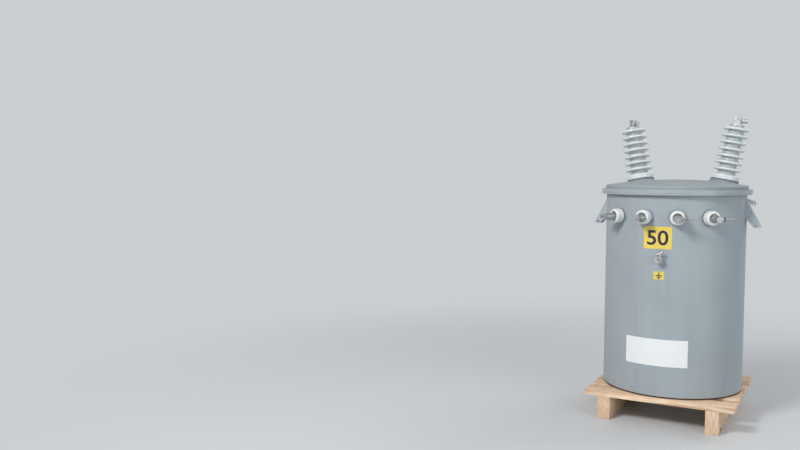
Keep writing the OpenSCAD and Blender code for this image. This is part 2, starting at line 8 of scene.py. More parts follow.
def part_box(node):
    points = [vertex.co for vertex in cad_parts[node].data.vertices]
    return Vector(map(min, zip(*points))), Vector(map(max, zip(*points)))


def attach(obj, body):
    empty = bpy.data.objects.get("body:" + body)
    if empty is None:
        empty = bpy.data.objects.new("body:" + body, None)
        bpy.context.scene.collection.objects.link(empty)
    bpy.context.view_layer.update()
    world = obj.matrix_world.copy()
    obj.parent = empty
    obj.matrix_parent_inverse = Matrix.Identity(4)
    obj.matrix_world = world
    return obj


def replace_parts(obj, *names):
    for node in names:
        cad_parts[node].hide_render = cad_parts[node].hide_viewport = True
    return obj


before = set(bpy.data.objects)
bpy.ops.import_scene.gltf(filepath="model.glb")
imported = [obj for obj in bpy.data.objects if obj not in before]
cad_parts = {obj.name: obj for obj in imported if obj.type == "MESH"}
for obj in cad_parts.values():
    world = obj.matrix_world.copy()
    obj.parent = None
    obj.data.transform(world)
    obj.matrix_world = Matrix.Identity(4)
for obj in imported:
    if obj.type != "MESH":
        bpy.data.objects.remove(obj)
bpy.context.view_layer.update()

scene = bpy.context.scene


# Viewpoint
# A camera at about waist height, in front of the transformer and to its right, aimed past its left side.
# The numbers were fitted to the tank's edges in an 800 by 450 picture.

PICTURE_WIDTH = 800
FOCAL_IN_PIXELS = 817.9
SENSOR_WIDTH = 36.0
EYE = Vector((0.6223, -3.3218, 0.9330))
YAW, PITCH, ROLL = (math.radians(angle) for angle in (29.21, 3.65, 0.18))

camera_data = bpy.data.cameras.new("camera")
camera_data.sensor_width = SENSOR_WIDTH
camera_data.lens = FOCAL_IN_PIXELS * SENSOR_WIDTH / PICTURE_WIDTH
camera = bpy.data.objects.new("camera", camera_data)
scene.collection.objects.link(camera)
scene.camera = camera

turn = Matrix.Rotation(YAW, 4, "Z")
turn = turn @ Matrix.Rotation(math.pi / 2 - PITCH, 4, "X")
turn = turn @ Matrix.Rotation(ROLL, 4, "Z")
camera.matrix_world = Matrix.Translation(EYE) @ turn


# Studio
# A pale floor with a low sheen that fades into a pale surround. One soft lamp stands high in front on the
# left, a weaker one on the right and one behind, with an even sky of the floor's tone.

SURROUND = (0.60, 0.62, 0.64, 1.0)
FLOOR_COLOUR = (0.58, 0.60, 0.62, 1.0)
FLOOR_ROUGHNESS = 0.5
FLOOR_RADIUS = 14.0
FLOOR_SIDES = 96
FADE_START = 0.7
FADE_END = 3.0
SKY_STRENGTH = 0.60
LAMP_AIM = Vector((0.0, 0.0, 0.55))


def add(tree, kind, values=None, **settings):
    """Adds a node; values are constants or sockets for its inputs, settings are its own properties."""
    made = tree.nodes.new(kind)
    for name, value in settings.items():
        setattr(made, name, value)
    for name, value in (values or {}).items():
        if isinstance(value, bpy.types.NodeSocket):
            tree.links.new(value, made.inputs[name])
        else:
            made.inputs[name].default_value = value
    return made


def maths(tree, operation, *values):
    """The socket of a sum on one or two numbers."""
    return add(tree, "ShaderNodeMath", dict(enumerate(values)), operation=operation).outputs[0]


def looked_at(tree):
    """The socket that is 1 for what the camera, metal or glass shows, and 0 for the light on things."""
    ray = add(tree, "ShaderNodeLightPath")
    mirrored = maths(tree, "MAXIMUM", ray.outputs["Is Glossy Ray"], ray.outputs["Is Transmission Ray"])
    return maths(tree, "MAXIMUM", ray.outputs["Is Camera Ray"], mirrored)


world = bpy.data.worlds.new("studio_sky")
scene.world = world
world.use_nodes = True
sky = world.node_tree
sky.nodes.clear()
lit = add(sky, "ShaderNodeBackground", {"Color": SURROUND, "Strength": SKY_STRENGTH})
shown = add(sky, "ShaderNodeBackground", {"Color": SURROUND, "Strength": 1.0})
both = add(sky, "ShaderNodeMixShader", {0: looked_at(sky), 1: lit.outputs[0], 2: shown.outputs[0]})
add(sky, "ShaderNodeOutputWorld", {"Surface": both.outputs[0]})


def soft_lamp(name, place, width, power, tint):
    """A square area lamp at a place, turned towards the middle of the tank."""
    data = bpy.data.lights.new(name, "AREA")
    data.size = width
    data.energy = power
    data.color = tint
    lamp = bpy.data.objects.new(name, data)
    scene.collection.objects.link(lamp)
    lamp.location = place
    lamp.rotation_euler = (LAMP_AIM - Vector(place)).to_track_quat("-Z", "Y").to_euler()


soft_lamp("key_lamp", (-1.45, -3.55, 3.2), width=1.1, power=140.0, tint=(1.0, 0.985, 0.965))
soft_lamp("side_lamp", (3.2, -2.3, 1.5), width=2.4, power=45.0, tint=(0.95, 0.97, 1.0))
soft_lamp("back_lamp", (2.0, 3.0, 3.4), width=2.4, power=62.0, tint=(1.0, 1.0, 1.0))


def material(name):
    """An empty node material with its node tree and the object's own coordinates."""
    made = bpy.data.materials.new(name)
    made.use_nodes = True
    made.node_tree.nodes.clear()
    place = add(made.node_tree, "ShaderNodeTexCoord").outputs["Object"]
    return made, made.node_tree, place


def length_of(tree, vector):
    """The socket of a vector's length."""
    return add(tree, "ShaderNodeVectorMath", {0: vector}, operation="LENGTH").outputs["Value"]


def ranged(tree, value, start, end, low=0.0, high=1.0, **settings):
    """The socket that runs from low to high while a value runs from start to end."""
    values = {0: value, 1: start, 2: end, 3: low, 4: high}
    return add(tree, "ShaderNodeMapRange", values, **settings).outputs[0]


floor_finish, tree, place = material("floor_finish")
far = ranged(tree, length_of(tree, place), FADE_START, FADE_END, interpolation_type="SMOOTHSTEP")
fade = maths(tree, "MULTIPLY", far, looked_at(tree))
matt = add(tree, "ShaderNodeBsdfPrincipled", {"Base Color": FLOOR_COLOUR, "Roughness": FLOOR_ROUGHNESS})
glow = add(tree, "ShaderNodeEmission", {"Color": SURROUND, "Strength": 1.0})
both = add(tree, "ShaderNodeMixShader", {0: fade, 1: matt.outputs[0], 2: glow.outputs[0]})
add(tree, "ShaderNodeOutputMaterial", {"Surface": both.outputs[0]})

shape = bmesh.new()
bmesh.ops.create_circle(shape, cap_ends=True, radius=FLOOR_RADIUS, segments=FLOOR_SIDES)
floor_mesh = bpy.data.meshes.new("floor")
shape.to_mesh(floor_mesh)
shape.free()
floor_mesh.materials.append(floor_finish)
floor = bpy.data.objects.new("floor", floor_mesh)
scene.collection.objects.link(floor)


# Pallet
# Two upright pine runners from front to back carry four sawn deck boards, nailed down at each crossing.
# The wood is pale, dry and unpainted, with growth lines, a few small knots and the marks of the saw.

BODY = "root"
BOARDS = ("deck_board_front", "deck_board_second", "deck_board_third", "deck_board_rear")
RUNNERS = ("pallet_runner_left", "pallet_runner_right")
EARLY_WOOD = (238, 211, 182)
LATE_WOOD = (199, 155, 114)
KNOT_WOOD = (150, 100, 66)
BOARD_TONES = (7, -6, 4, -2)
RUNNER_TONES = (-3, 2)
RING_WIDTH = 0.0052
RUNNER_PITH = 0.11
BEND_SWAY = 0.022
CELLS_WITHOUT_KNOT = 0.55
SAW_DEPTH = 0.35
ARRIS = 0.0012
NAIL_RADIUS = 0.0034
NAIL_CROWN_RADIUS = NAIL_RADIUS * 0.82
NAIL_HEIGHT = 0.0012
NAIL_SIDES = 16
NAIL_PLACES = ((0.25, 0.32), (0.75, 0.66))
TANK_RADIUS = 0.260

# How densely each pattern of the wood repeats along, across and through a piece
BENDS = (1.6, 9.0, 9.0)
KNOTS = (4.2, 7.0, 7.0)
FIBRES = (22.0, 700.0, 130.0)
STREAKS = (5.0, 190.0, 26.0)


def lighter(colour, step):
    """A screen colour made lighter, or darker with a negative step."""
    return tuple(max(0, min(255, part + step)) for part in colour)


def srgb(colour, step=0):
    """A colour read off a screen from 0 to 255, lighter by a step, as the shader's linear value."""
    parts = [part / 255 for part in lighter(colour, step)]
    return tuple(c / 12.92 if c <= 0.04045 else ((c + 0.055) / 1.055) ** 2.4 for c in parts) + (1.0,)


def mixed(tree, factor, first, second, blend="MIX"):
    """The socket of two colours mixed."""
    values = {"Factor": factor, "A": first, "B": second}
    return add(tree, "ShaderNodeMix", values, data_type="RGBA", blend_type=blend).outputs["Result"]


def vectors(tree, operation, first, second):
    """The socket of a sum on two vectors."""
    return add(tree, "ShaderNodeVectorMath", {0: first, 1: second}, operation=operation).outputs[0]


def noise(tree, place, scale, detail):
    """The socket of a soft noise from 0 to 1."""
    return add(tree, "ShaderNodeTexNoise", {"Vector": place, "Scale": scale, "Detail": detail}).outputs[0]


def bumped(tree, height, strength, distance):
    """The socket of a surface roughened by a height."""
    values = {"Height": height, "Strength": strength, "Distance": distance}
    return add(tree, "ShaderNodeBump", values).outputs[0]


def coat(tree, values):
    """Closes a material with a Principled surface."""
    skin = add(tree, "ShaderNodeBsdfPrincipled", values)
    add(tree, "ShaderNodeOutputMaterial", {"Surface": skin.outputs[0]})


def group(name, inputs, outputs):
    """A shader node group with named sockets; returns it with its input and output nodes."""
    made = bpy.data.node_groups.new(name, "ShaderNodeTree")
    for label, kind in inputs:
        made.interface.new_socket(name=label, in_out="INPUT", socket_type="NodeSocket" + kind)
    for label in outputs:
        made.interface.new_socket(name=label, in_out="OUTPUT", socket_type="NodeSocketFloat")
    return made, made.nodes.new("NodeGroupInput"), made.nodes.new("NodeGroupOutput")


def give(tree, ends_out, **sockets):
    """Links sockets to the outputs of a group that have their names."""
    for name, socket in sockets.items():
        tree.links.new(socket, ends_out.inputs[name])


def finish_object(name, shape, finish, smooth_angle):
    """Turns a bmesh into an object on the body, with its finish."""
    mesh = bpy.data.meshes.new(name)
    shape.to_mesh(mesh)
    shape.free()
    mesh.materials.append(finish)
    mesh.shade_smooth()
    mesh.set_sharp_from_angle(angle=math.radians(smooth_angle))
    piece = bpy.data.objects.new(name, mesh)
    scene.collection.objects.link(piece)
    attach(piece, BODY)
    return piece


wood_grain, ends_in, ends_out = group(
    "wood_grain",
    [("Vector", "Vector"), ("Ring", "Float"), ("Pith", "Float")],
    ["Late", "Knot", "Fibre", "Streak", "Saw", "Height"],
)

# The trunk was never quite straight, so the wood wanders up to a centimetre along its length
along = ends_in.outputs["Vector"]
bends = {"Vector": vectors(wood_grain, "MULTIPLY", along, BENDS), "Scale": 1.0, "Detail": 1.5}
wander = add(wood_grain, "ShaderNodeTexNoise", bends).outputs["Color"]
shift = vectors(wood_grain, "SUBTRACT", wander, (0.5, 0.5, 0.5))
shift = add(wood_grain, "ShaderNodeVectorMath", {0: shift, "Scale": BEND_SWAY}, operation="SCALE").outputs[0]
moved = vectors(wood_grain, "ADD", along, shift)

# Growth rings run round a pith that lies along X below the piece, so that faces and ends agree
axes = add(wood_grain, "ShaderNodeSeparateXYZ", {0: moved})
below = maths(wood_grain, "ADD", axes.outputs["Z"], ends_in.outputs["Pith"])
across = add(wood_grain, "ShaderNodeCombineXYZ", {"X": 0.0, "Y": axes.outputs["Y"], "Z": below})
rings = maths(wood_grain, "DIVIDE", length_of(wood_grain, across.outputs[0]), ends_in.outputs["Ring"])
year = maths(wood_grain, "FRACT", rings)
late = add(wood_grain, "ShaderNodeValToRGB", {"Fac": year})
late.color_ramp.elements[0].position = 0.35
late.color_ramp.elements[0].color = (0, 0, 0, 1)
late.color_ramp.elements[1].position = 0.92
late.color_ramp.elements.new(1.0).color = (0.1, 0.1, 0.1, 1)

# Fewer than half of the cells hold a knot
knot_place = vectors(wood_grain, "MULTIPLY", moved, KNOTS)
knots = add(wood_grain, "ShaderNodeTexVoronoi", {"Vector": knot_place, "Scale": 1.0})
draw = add(wood_grain, "ShaderNodeSeparateColor", {0: knots.outputs["Color"]})
chosen = maths(wood_grain, "GREATER_THAN", draw.outputs[0], CELLS_WITHOUT_KNOT)
knot = ranged(wood_grain, knots.outputs["Distance"], 0.10, 0.035)
knot = maths(wood_grain, "MULTIPLY", knot, chosen)

# Fibres and streaks are long, and the saw's teeth leave lines across them
fibre = noise(wood_grain, vectors(wood_grain, "MULTIPLY", along, FIBRES), scale=1.0, detail=3.0)
streak = noise(wood_grain, vectors(wood_grain, "MULTIPLY", along, STREAKS), scale=1.0, detail=2.0)
saw_marks = {"Vector": along, "Scale": 92.0, "Distortion": 1.6, "Detail": 1.0}
teeth = add(wood_grain, "ShaderNodeTexWave", saw_marks, bands_direction="X").outputs["Fac"]
height = maths(wood_grain, "ADD", fibre, late.outputs[0])
height = maths(wood_grain, "ADD", height, maths(wood_grain, "MULTIPLY", teeth, SAW_DEPTH))
give(wood_grain, ends_out, Late=late.outputs[0], Knot=knot, Fibre=fibre, Streak=streak, Saw=teeth,
     Height=height)


def pine(name, lengthways, offset, pith, tone):
    """Pine for one piece: lengthways turns its length onto X, and offset picks its stretch of wood."""
    made, tree, place = material(name)
    values = {"Vector": place, "Location": offset, "Rotation": (0, 0, lengthways)}
    laid = add(tree, "ShaderNodeMapping", values)
    values = {"Vector": laid.outputs[0], "Ring": RING_WIDTH, "Pith": pith}
    grain = add(tree, "ShaderNodeGroup", values, node_tree=wood_grain)
    lines = maths(tree, "MULTIPLY", grain.outputs["Late"], 0.85)
    wood = mixed(tree, lines, srgb(EARLY_WOOD, tone), srgb(LATE_WOOD, tone))
    fibres = ranged(tree, grain.outputs["Fibre"], 0.3, 0.7, low=0.78, high=1.06)
    wood = mixed(tree, 1.0, wood, fibres, "MULTIPLY")
    streaks = ranged(tree, grain.outputs["Streak"], 0.34, 0.66, low=0.81, high=1.07)
    wood = mixed(tree, 1.0, wood, streaks, "MULTIPLY")
    sawn = ranged(tree, grain.outputs["Saw"], 0.0, 1.0, low=0.955, high=1.02)
    wood = mixed(tree, 1.0, wood, sawn, "MULTIPLY")
    wood = mixed(tree, grain.outputs["Knot"], wood, srgb(KNOT_WOOD))
    rough = ranged(tree, grain.outputs["Fibre"], 0.0, 1.0, low=0.62, high=0.84)
    relief = bumped(tree, grain.outputs["Height"], strength=0.4, distance=0.0007)
    coat(tree, {"Base Color": wood, "Roughness": rough, "Normal": relief, "Specular IOR Level": 0.3})
    return made


def sawn_piece(node, finish):
    """A board of the node's size whose sawn edges are slightly broken."""
    low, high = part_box(node)
    shape = bmesh.new()
    bmesh.ops.create_cube(shape, size=1.0)
    bmesh.ops.scale(shape, vec=high - low, verts=shape.verts)
    bmesh.ops.translate(shape, vec=(low + high) / 2, verts=shape.verts)
    bmesh.ops.bevel(shape, geom=shape.edges[:], offset=ARRIS, offset_type="OFFSET", affect="EDGES",
                    segments=2, profile=0.5, material=-1)
    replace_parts(finish_object("pine_" + node, shape, finish, smooth_angle=35), node)


for count, node in enumerate(BOARDS):
    stretch_of_wood = (0.31 * count, 0.03 * count, -0.09)
    pith = 0.03 + 0.02 * count
    sawn_piece(node, pine("pine_across_%d" % count, 0.0, stretch_of_wood, pith, BOARD_TONES[count]))
for count, node in enumerate(RUNNERS):
    stretch_of_wood = (0.5 + 0.4 * count, 0.05, -0.03)
    finish = pine("pine_along_%d" % count, math.pi / 2, stretch_of_wood, RUNNER_PITH, RUNNER_TONES[count])
    sawn_piece(node, finish)

nail_finish, tree, place = material("nail_finish")
tone = mixed(tree, noise(tree, place, scale=900.0, detail=2.0), srgb((118, 120, 120)), srgb((150, 140, 126)))
coat(tree, {"Base Color": tone, "Metallic": 0.8, "Roughness": 0.45})

# Two nails stand at each crossing, a little out of line, and none where the tank covers it
nails = bmesh.new()
for runner in RUNNERS:
    runner_low, runner_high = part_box(runner)
    for board in BOARDS:
        low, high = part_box(board)
        for along_board, across_runner in NAIL_PLACES:
            spot = Vector((runner_low.x + (runner_high.x - runner_low.x) * across_runner,
                           low.y + (high.y - low.y) * along_board, high.z))
            if spot.to_2d().length > TANK_RADIUS + NAIL_RADIUS:
                head = bmesh.ops.create_cone(nails, cap_ends=True, segments=NAIL_SIDES, radius1=NAIL_RADIUS,
                                             radius2=NAIL_CROWN_RADIUS, depth=NAIL_HEIGHT)
                bmesh.ops.translate(nails, vec=spot, verts=head["verts"])
finish_object("deck_nails", nails, nail_finish, smooth_angle=40)


# Tank
# A rolled and welded steel wall on a welded bottom plate, sprayed light grey with a semi-gloss enamel.
# The bottom plate's edge is dark brown, nearly black, with rusty patches.

GREY = (155, 164, 170)
DUST = (168, 170, 168)
RUNS = (26.0, 26.0, 1.3)

paint_skin, ends_in, ends_out = group(
    "paint_skin",
    [("Vector", "Vector")],
    ["Cloud", "Peel", "Speck", "Run"],
)
where = ends_in.outputs["Vector"]
cloud = noise(paint_skin, where, scale=5.5, detail=5.0)
peel = noise(paint_skin, where, scale=260.0, detail=2.0)
dots = add(paint_skin, "ShaderNodeTexVoronoi", {"Vector": where, "Scale": 85.0})
speck = ranged(paint_skin, dots.outputs["Distance"], 0.07, 0.03)

# Runs of paint are narrow and hang far down
drawn_down = vectors(paint_skin, "MULTIPLY", where, RUNS)
run = ranged(paint_skin, noise(paint_skin, drawn_down, scale=1.0, detail=3.0), 0.52, 0.75)
give(paint_skin, ends_out, Cloud=cloud, Peel=peel, Speck=speck, Run=run)


def enamel(name, colour, dusty, roughness, specular):
    """Sprayed enamel: soft clouds of tone, faint runs, orange peel, specks, and dust on flat tops."""
    made, tree, place = material(name)
    skin = add(tree, "ShaderNodeGroup", {"Vector": place}, node_tree=paint_skin)
    tone = mixed(tree, skin.outputs["Cloud"], srgb(colour, -9), srgb(colour, 8))
    tone = mixed(tree, maths(tree, "MULTIPLY", skin.outputs["Run"], 0.30), tone, srgb(colour, -18))
    tone = mixed(tree, maths(tree, "MULTIPLY", skin.outputs["Speck"], 0.35), tone, srgb(colour, -40))
    facing = add(tree, "ShaderNodeSeparateXYZ", {0: add(tree, "ShaderNodeNewGeometry").outputs["Normal"]})
    flat = ranged(tree, facing.outputs["Z"], 0.75, 1.0, high=dusty)
    dust = maths(tree, "MULTIPLY", flat, skin.outputs["Cloud"])
    tone = mixed(tree, dust, tone, srgb(DUST))
    rough = ranged(tree, skin.outputs["Cloud"], 0.3, 0.7, low=roughness - 0.05, high=roughness + 0.06)
    relief = bumped(tree, skin.outputs["Peel"], strength=0.5, distance=0.00024)
    coat(tree, {"Base Color": tone, "Roughness": rough, "Normal": relief, "Specular IOR Level": specular})
    return made


def dress(finish, *nodes):
    """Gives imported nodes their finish."""
    for node in nodes:
        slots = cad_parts[node].data.materials
        slots.clear()
        slots.append(finish)


wall_enamel = enamel("wall_enamel", GREY, dusty=0.2, roughness=0.45, specular=0.35)
dress(wall_enamel, "tank_shell")

# The bottom plate is dark brown, nearly black, with rusty patches.
dark_bottom_finish, tree, place = material("dark_bottom_brown")
patches = noise(tree, place, scale=38.0, detail=5.0)
rust = ranged(tree, noise(tree, place, scale=120.0, detail=6.0), 0.52, 0.68)
tone = mixed(tree, patches, srgb((46, 34, 28)), srgb((82, 60, 44)))
tone = mixed(tree, rust, tone, srgb((104, 66, 42)))
relief = bumped(tree, patches, strength=0.5, distance=0.0006)
coat(tree, {"Base Color": tone, "Roughness": 0.8, "Normal": relief})
dress(dark_bottom_finish, "tank_bottom")


# Welds
# Fillet beads laid by hand where seat rings, pad, lugs and hangers meet the wall, and one seam up its back,
# A thin bead round the foot has the bottom plate's dark brown.

BEAD = 0.0022
BEAD_SIDES = 8
RIPPLE = 0.10
RIPPLES_PER_METRE = 420.0
CUTS_PER_METRE = 1000
FEWEST_CUTS = 8
RING_STEPS = 96
SEATS = range(1, 5)
SEAT_RING_RADIUS = 0.031
PAD_RADIUS = 0.015
LUG_HALF_WIDTH = 0.0225
LUG_ROOT_HEIGHT = 0.062
HANGER_HALF_WIDTH = 0.0515
SEAM_ANGLE = math.radians(205)
SEAM_GAPS = 0.004
FOOT_BEAD = 0.0018
FOOT_DROP = 0.0008
FOOT_STEPS = 360


def wrap(shape, angle, height):
    """Bends a flat shape in XY onto the wall: X runs round to the right, Y up, and Z out of the wall."""
    for vertex in shape.verts:
        round_wall, up, out = vertex.co
        turned = angle + round_wall / TANK_RADIUS
        reach = TANK_RADIUS + out
        vertex.co = Vector((reach * math.sin(turned), -reach * math.cos(turned), height + up))


def ripple(verts, middle_of, length_at):
    """Swells and thins a bead along its length, as the welder's hand leaves it."""
    for vertex in verts:
        middle = middle_of(vertex.co)
        swell = 1 + RIPPLE * math.sin(length_at(vertex.co) * RIPPLES_PER_METRE)
        vertex.co = middle + (vertex.co - middle) * swell


def hoop(thickness, radius, height, steps):
    """A level ring with a round section."""
    shape = bmesh.new()
    section = bmesh.ops.create_circle(shape, cap_ends=False, radius=thickness, segments=BEAD_SIDES)["verts"]
    bmesh.ops.rotate(shape, verts=section, cent=(0, 0, 0), matrix=Matrix.Rotation(math.pi / 2, 3, "X"))
    bmesh.ops.translate(shape, verts=section, vec=(radius, 0, height))
    bmesh.ops.spin(shape, geom=shape.edges[:], cent=(0, 0, 0), axis=(0, 0, 1), angle=2 * math.pi, steps=steps,
                   use_merge=True)
    bmesh.ops.remove_doubles(shape, verts=shape.verts, dist=1e-6)
    return shape


def ring_bead(angle, height, radius):
    """A bead round a round piece that stands on the wall."""
    shape = hoop(BEAD, radius, 0, RING_STEPS)
    ripple(shape.verts, lambda p: Vector((p.x, p.y, 0)).normalized() * radius,
           lambda p: math.atan2(p.y, p.x) * radius)
    bmesh.ops.recalc_face_normals(shape, faces=shape.faces)
    wrap(shape, angle, height)
    return shape


def straight_bead(angle, height, length, sideways=0.0, level=False):
    """A bead along the wall, upright or level, whose middle lies sideways of the angle."""
    shape = bmesh.new()
    bmesh.ops.create_cone(shape, cap_ends=True, segments=BEAD_SIDES, radius1=BEAD, radius2=BEAD, depth=length)
    long_edges = [e for e in shape.edges if abs(e.verts[0].co.z - e.verts[1].co.z) > length / 2]
    cuts = max(FEWEST_CUTS, int(length * CUTS_PER_METRE))
    bmesh.ops.subdivide_edges(shape, edges=long_edges, cuts=cuts, use_grid_fill=True)
    ripple(shape.verts, lambda p: Vector((0, 0, p.z)), lambda p: p.z)
    onto_wall = Matrix.Rotation(math.pi / 2, 3, "Y") if level else Matrix.Rotation(-math.pi / 2, 3, "X")
    bmesh.ops.rotate(shape, verts=shape.verts, cent=(0, 0, 0), matrix=onto_wall)
    bmesh.ops.translate(shape, verts=shape.verts, vec=(sideways, 0, 0))
    bmesh.ops.recalc_face_normals(shape, faces=shape.faces)
    wrap(shape, angle, height)
    return shape


def middle_and_angle(node):
    """The middle of a node's box, and its plan angle from the front, to the right."""
    low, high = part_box(node)
    middle = (low + high) / 2
    return middle, math.atan2(middle.x, -middle.y)


def weld(name, beads):
    """Joins beads into one painted piece."""
    joined = bmesh.new()
    for bead in beads:
        part = bpy.data.meshes.new("bead")
        bead.to_mesh(part)
        bead.free()
        joined.from_mesh(part)
        bpy.data.meshes.remove(part)
    finish_object(name, joined, wall_enamel, smooth_angle=60)


seats = []
for count in SEATS:
    middle, angle = middle_and_angle("lv_gasket_%d" % count)
    seats.append(ring_bead(angle, middle.z, SEAT_RING_RADIUS + BEAD / 2))
weld("seat_ring_welds", seats)

middle, angle = middle_and_angle("ground_pad")
weld("ground_pad_weld", [ring_bead(angle, middle.z, PAD_RADIUS + BEAD / 2)])

for side, turned in (("left", -math.pi / 2), ("right", math.pi / 2)):
    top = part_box("lifting_lug_" + side)[1].z
    middle = top - LUG_ROOT_HEIGHT / 2
    beads = [straight_bead(turned, middle, LUG_ROOT_HEIGHT, edge * LUG_HALF_WIDTH) for edge in (-1, 1)]
    beads.append(straight_bead(turned, top, 2 * LUG_HALF_WIDTH, level=True))
    weld("lug_welds_" + side, beads)

for node in ("hanger_upper", "hanger_lower"):
    low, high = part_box(node)
    middle = (low.z + high.z) / 2
    beads = [straight_bead(math.pi, middle, high.z - low.z, edge * HANGER_HALF_WIDTH) for edge in (-1, 1)]
    weld(node + "_welds", beads)

wall_low, wall_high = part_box("tank_shell")
seam_length = wall_high.z - wall_low.z - SEAM_GAPS
weld("wall_seam", [straight_bead(SEAM_ANGLE, (wall_low.z + wall_high.z) / 2, seam_length)])

foot = hoop(FOOT_BEAD, TANK_RADIUS - FOOT_BEAD, wall_low.z - FOOT_DROP, FOOT_STEPS)
bmesh.ops.recalc_face_normals(foot, faces=foot.faces)
finish_object("foot_weld", foot, dark_bottom_finish, smooth_angle=60)


# Cover and clamp band
# A pressed steel cover with two welded bosses lies on a black gasket on the rim ring. A rolled channel band
# grips all three, and a long zinc plated bolt draws its two ears together at the back.

# The whole tank wears one paint. The cover's grey is painted 6 darker as painted shade, and the band's 3 and
# the lugs' 12 lighter as painted light.
COVER_GREY_SHADED = lighter(GREY, -6)
BAND_GREY_LIT = lighter(GREY, 3)
LUG_GREY_LIT = lighter(GREY, 12)
BLOOM = (96, 98, 98)

shaded_cover_enamel = enamel("shaded_cover_enamel", COVER_GREY_SHADED, dusty=0.2, roughness=0.56, specular=0.12)
lit_band_enamel = enamel("lit_band_enamel", BAND_GREY_LIT, dusty=0.1, roughness=0.34, specular=0.45)
lit_lug_enamel = enamel("lit_lug_enamel", LUG_GREY_LIT, dusty=0.1, roughness=0.34, specular=0.45)
dress(shaded_cover_enamel, "cover", "hv_boss_left", "hv_boss_right")
dress(lit_band_enamel, "tank_rim", "cover_band", "hanger_upper", "hanger_lower", "ground_pad")
dress(lit_lug_enamel, "lifting_lug_left", "lifting_lug_right")


def rubber(name, colour):
    """Dull moulded rubber with a fine grain and a pale bloom."""
    made, tree, place = material(name)
    grain = noise(tree, place, scale=700.0, detail=2.0)
    tone = mixed(tree, grain, srgb(colour), srgb(colour, 12))
    powder = ranged(tree, noise(tree, place, scale=30.0, detail=3.0), 0.5, 0.8, high=0.25)
    tone = mixed(tree, powder, tone, srgb(BLOOM))
    relief = bumped(tree, grain, strength=0.3, distance=0.0002)
    coat(tree, {"Base Color": tone, "Roughness": 0.72, "Normal": relief})
    return made


dress(rubber("black_rubber", (30, 31, 33)), "cover_gasket")
dress(rubber("dark_cork_rubber", (50, 52, 55)), "hv_gasket_left", "hv_gasket_right")


# Tall bushings
# Wet-process porcelain, turned, fired and glazed all over in a pale sky grey. The glaze is glassy with faint
# waves and a few pinholes, and the shed lips are painted lighter than the core, as painted light and shade.

SKY_GREY = (186, 194, 196)
LIT_LIP_COLOUR = (214, 220, 221)
PINHOLE_COLOUR = (150, 140, 124)
COLLAR_WELL_SHADE = (50, 52, 54)
CORE_RADIUS = 0.036
SHED_RADIUS = 0.052


def off_axis(tree, local, kept):
    """The socket of the distance from an axis, where kept picks the directions across it."""
    return length_of(tree, vectors(tree, "MULTIPLY", local, kept))


def glaze(name, colour, lit_lips=None, well=None):
    """Glassy glaze with waves and pinholes. Lips give the seat and top of a shedded axis, whose shed lips are
    painted lighter than the core, as painted light and shade, and a well gives the angle, height and radius
    of a hole painted dark as shade."""
    made, tree, place = material(name)
    cloud = noise(tree, place, scale=16.0, detail=3.0)
    tone = mixed(tree, cloud, srgb(colour, -6), srgb(colour, 5))
    holes = add(tree, "ShaderNodeTexVoronoi", {"Vector": place, "Scale": 120.0})
    pinhole = ranged(tree, holes.outputs["Distance"], 0.05, 0.02, high=0.4)
    tone = mixed(tree, pinhole, tone, srgb(PINHOLE_COLOUR))
    # Painted light and shade: the shed lips are lighter and the core between the sheds is darker.
    if lit_lips:
        seat, top = lit_lips
        aim = (top - seat).to_track_quat("Z", "Y").to_euler()
        values = {"Vector": place, "Location": seat, "Rotation": aim}
        upright = add(tree, "ShaderNodeMapping", values, vector_type="TEXTURE")
        reach = off_axis(tree, upright.outputs[0], (1, 1, 0))
        tone = mixed(tree, ranged(tree, reach, CORE_RADIUS, SHED_RADIUS), tone, srgb(LIT_LIP_COLOUR))
    # Painted shade: the inside of the collar's well is darkened.
    if well:
        angle, height, radius = well
        values = {"Vector": place, "Location": (0, 0, -height), "Rotation": (0, 0, -angle)}
        faced = add(tree, "ShaderNodeMapping", values)
        reach = off_axis(tree, faced.outputs[0], (1, 0, 1))
        shaded_inside = ranged(tree, reach, radius + 0.0014, radius + 0.0004, high=0.94)
        tone = mixed(tree, shaded_inside, tone, srgb(COLLAR_WELL_SHADE))
    rough = ranged(tree, cloud, 0.3, 0.7, low=0.26, high=0.36)
    relief = bumped(tree, noise(tree, place, scale=60.0, detail=1.0), strength=0.1, distance=0.0004)
    coat(tree, {"Base Color": tone, "Roughness": rough, "Coat Weight": 0.3, "Coat Roughness": 0.12,
                "Normal": relief})
    return made


for side in ("left", "right"):
    axis = [sum(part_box(node + side), Vector()) / 2 for node in ("hv_gasket_", "hv_stud_")]
    dress(glaze("sky_glaze_" + side, SKY_GREY, lit_lips=axis), "hv_bushing_" + side)


# Low voltage bushings
# Short white porcelain collars on grey rubber rings, each pressed against its welded seat ring. The well in
# each collar is painted dark as shade.

WHITE = (222, 225, 225)
WELL_RADIUS = 0.016

dress(rubber("grey_rubber", (66, 70, 74)), *("lv_gasket_%d" % count for count in SEATS))
for count in SEATS:
    middle, angle = middle_and_angle("lv_gasket_%d" % count)
    white_glaze = glaze("white_glaze_%d" % count, WHITE, well=(angle, middle.z, WELL_RADIUS))
    dress(white_glaze, "lv_bushing_%d" % count)


# Metal fittings
# Tinned bronze clamps and connector, and zinc plated studs, washers, bolt and valve. The castings keep a fine
# grain and dull marks from handling, and what lies deep in a porcelain well is painted dark as shade.

WELL_DEPTH_RADIUS = 0.289
WELL_MOUTH_RADIUS = 0.302
TERMINAL_WELL_SHADE = (58, 58, 60)
CAST_GRAIN = 0.0016
PLATED_GRAIN = 0.0009


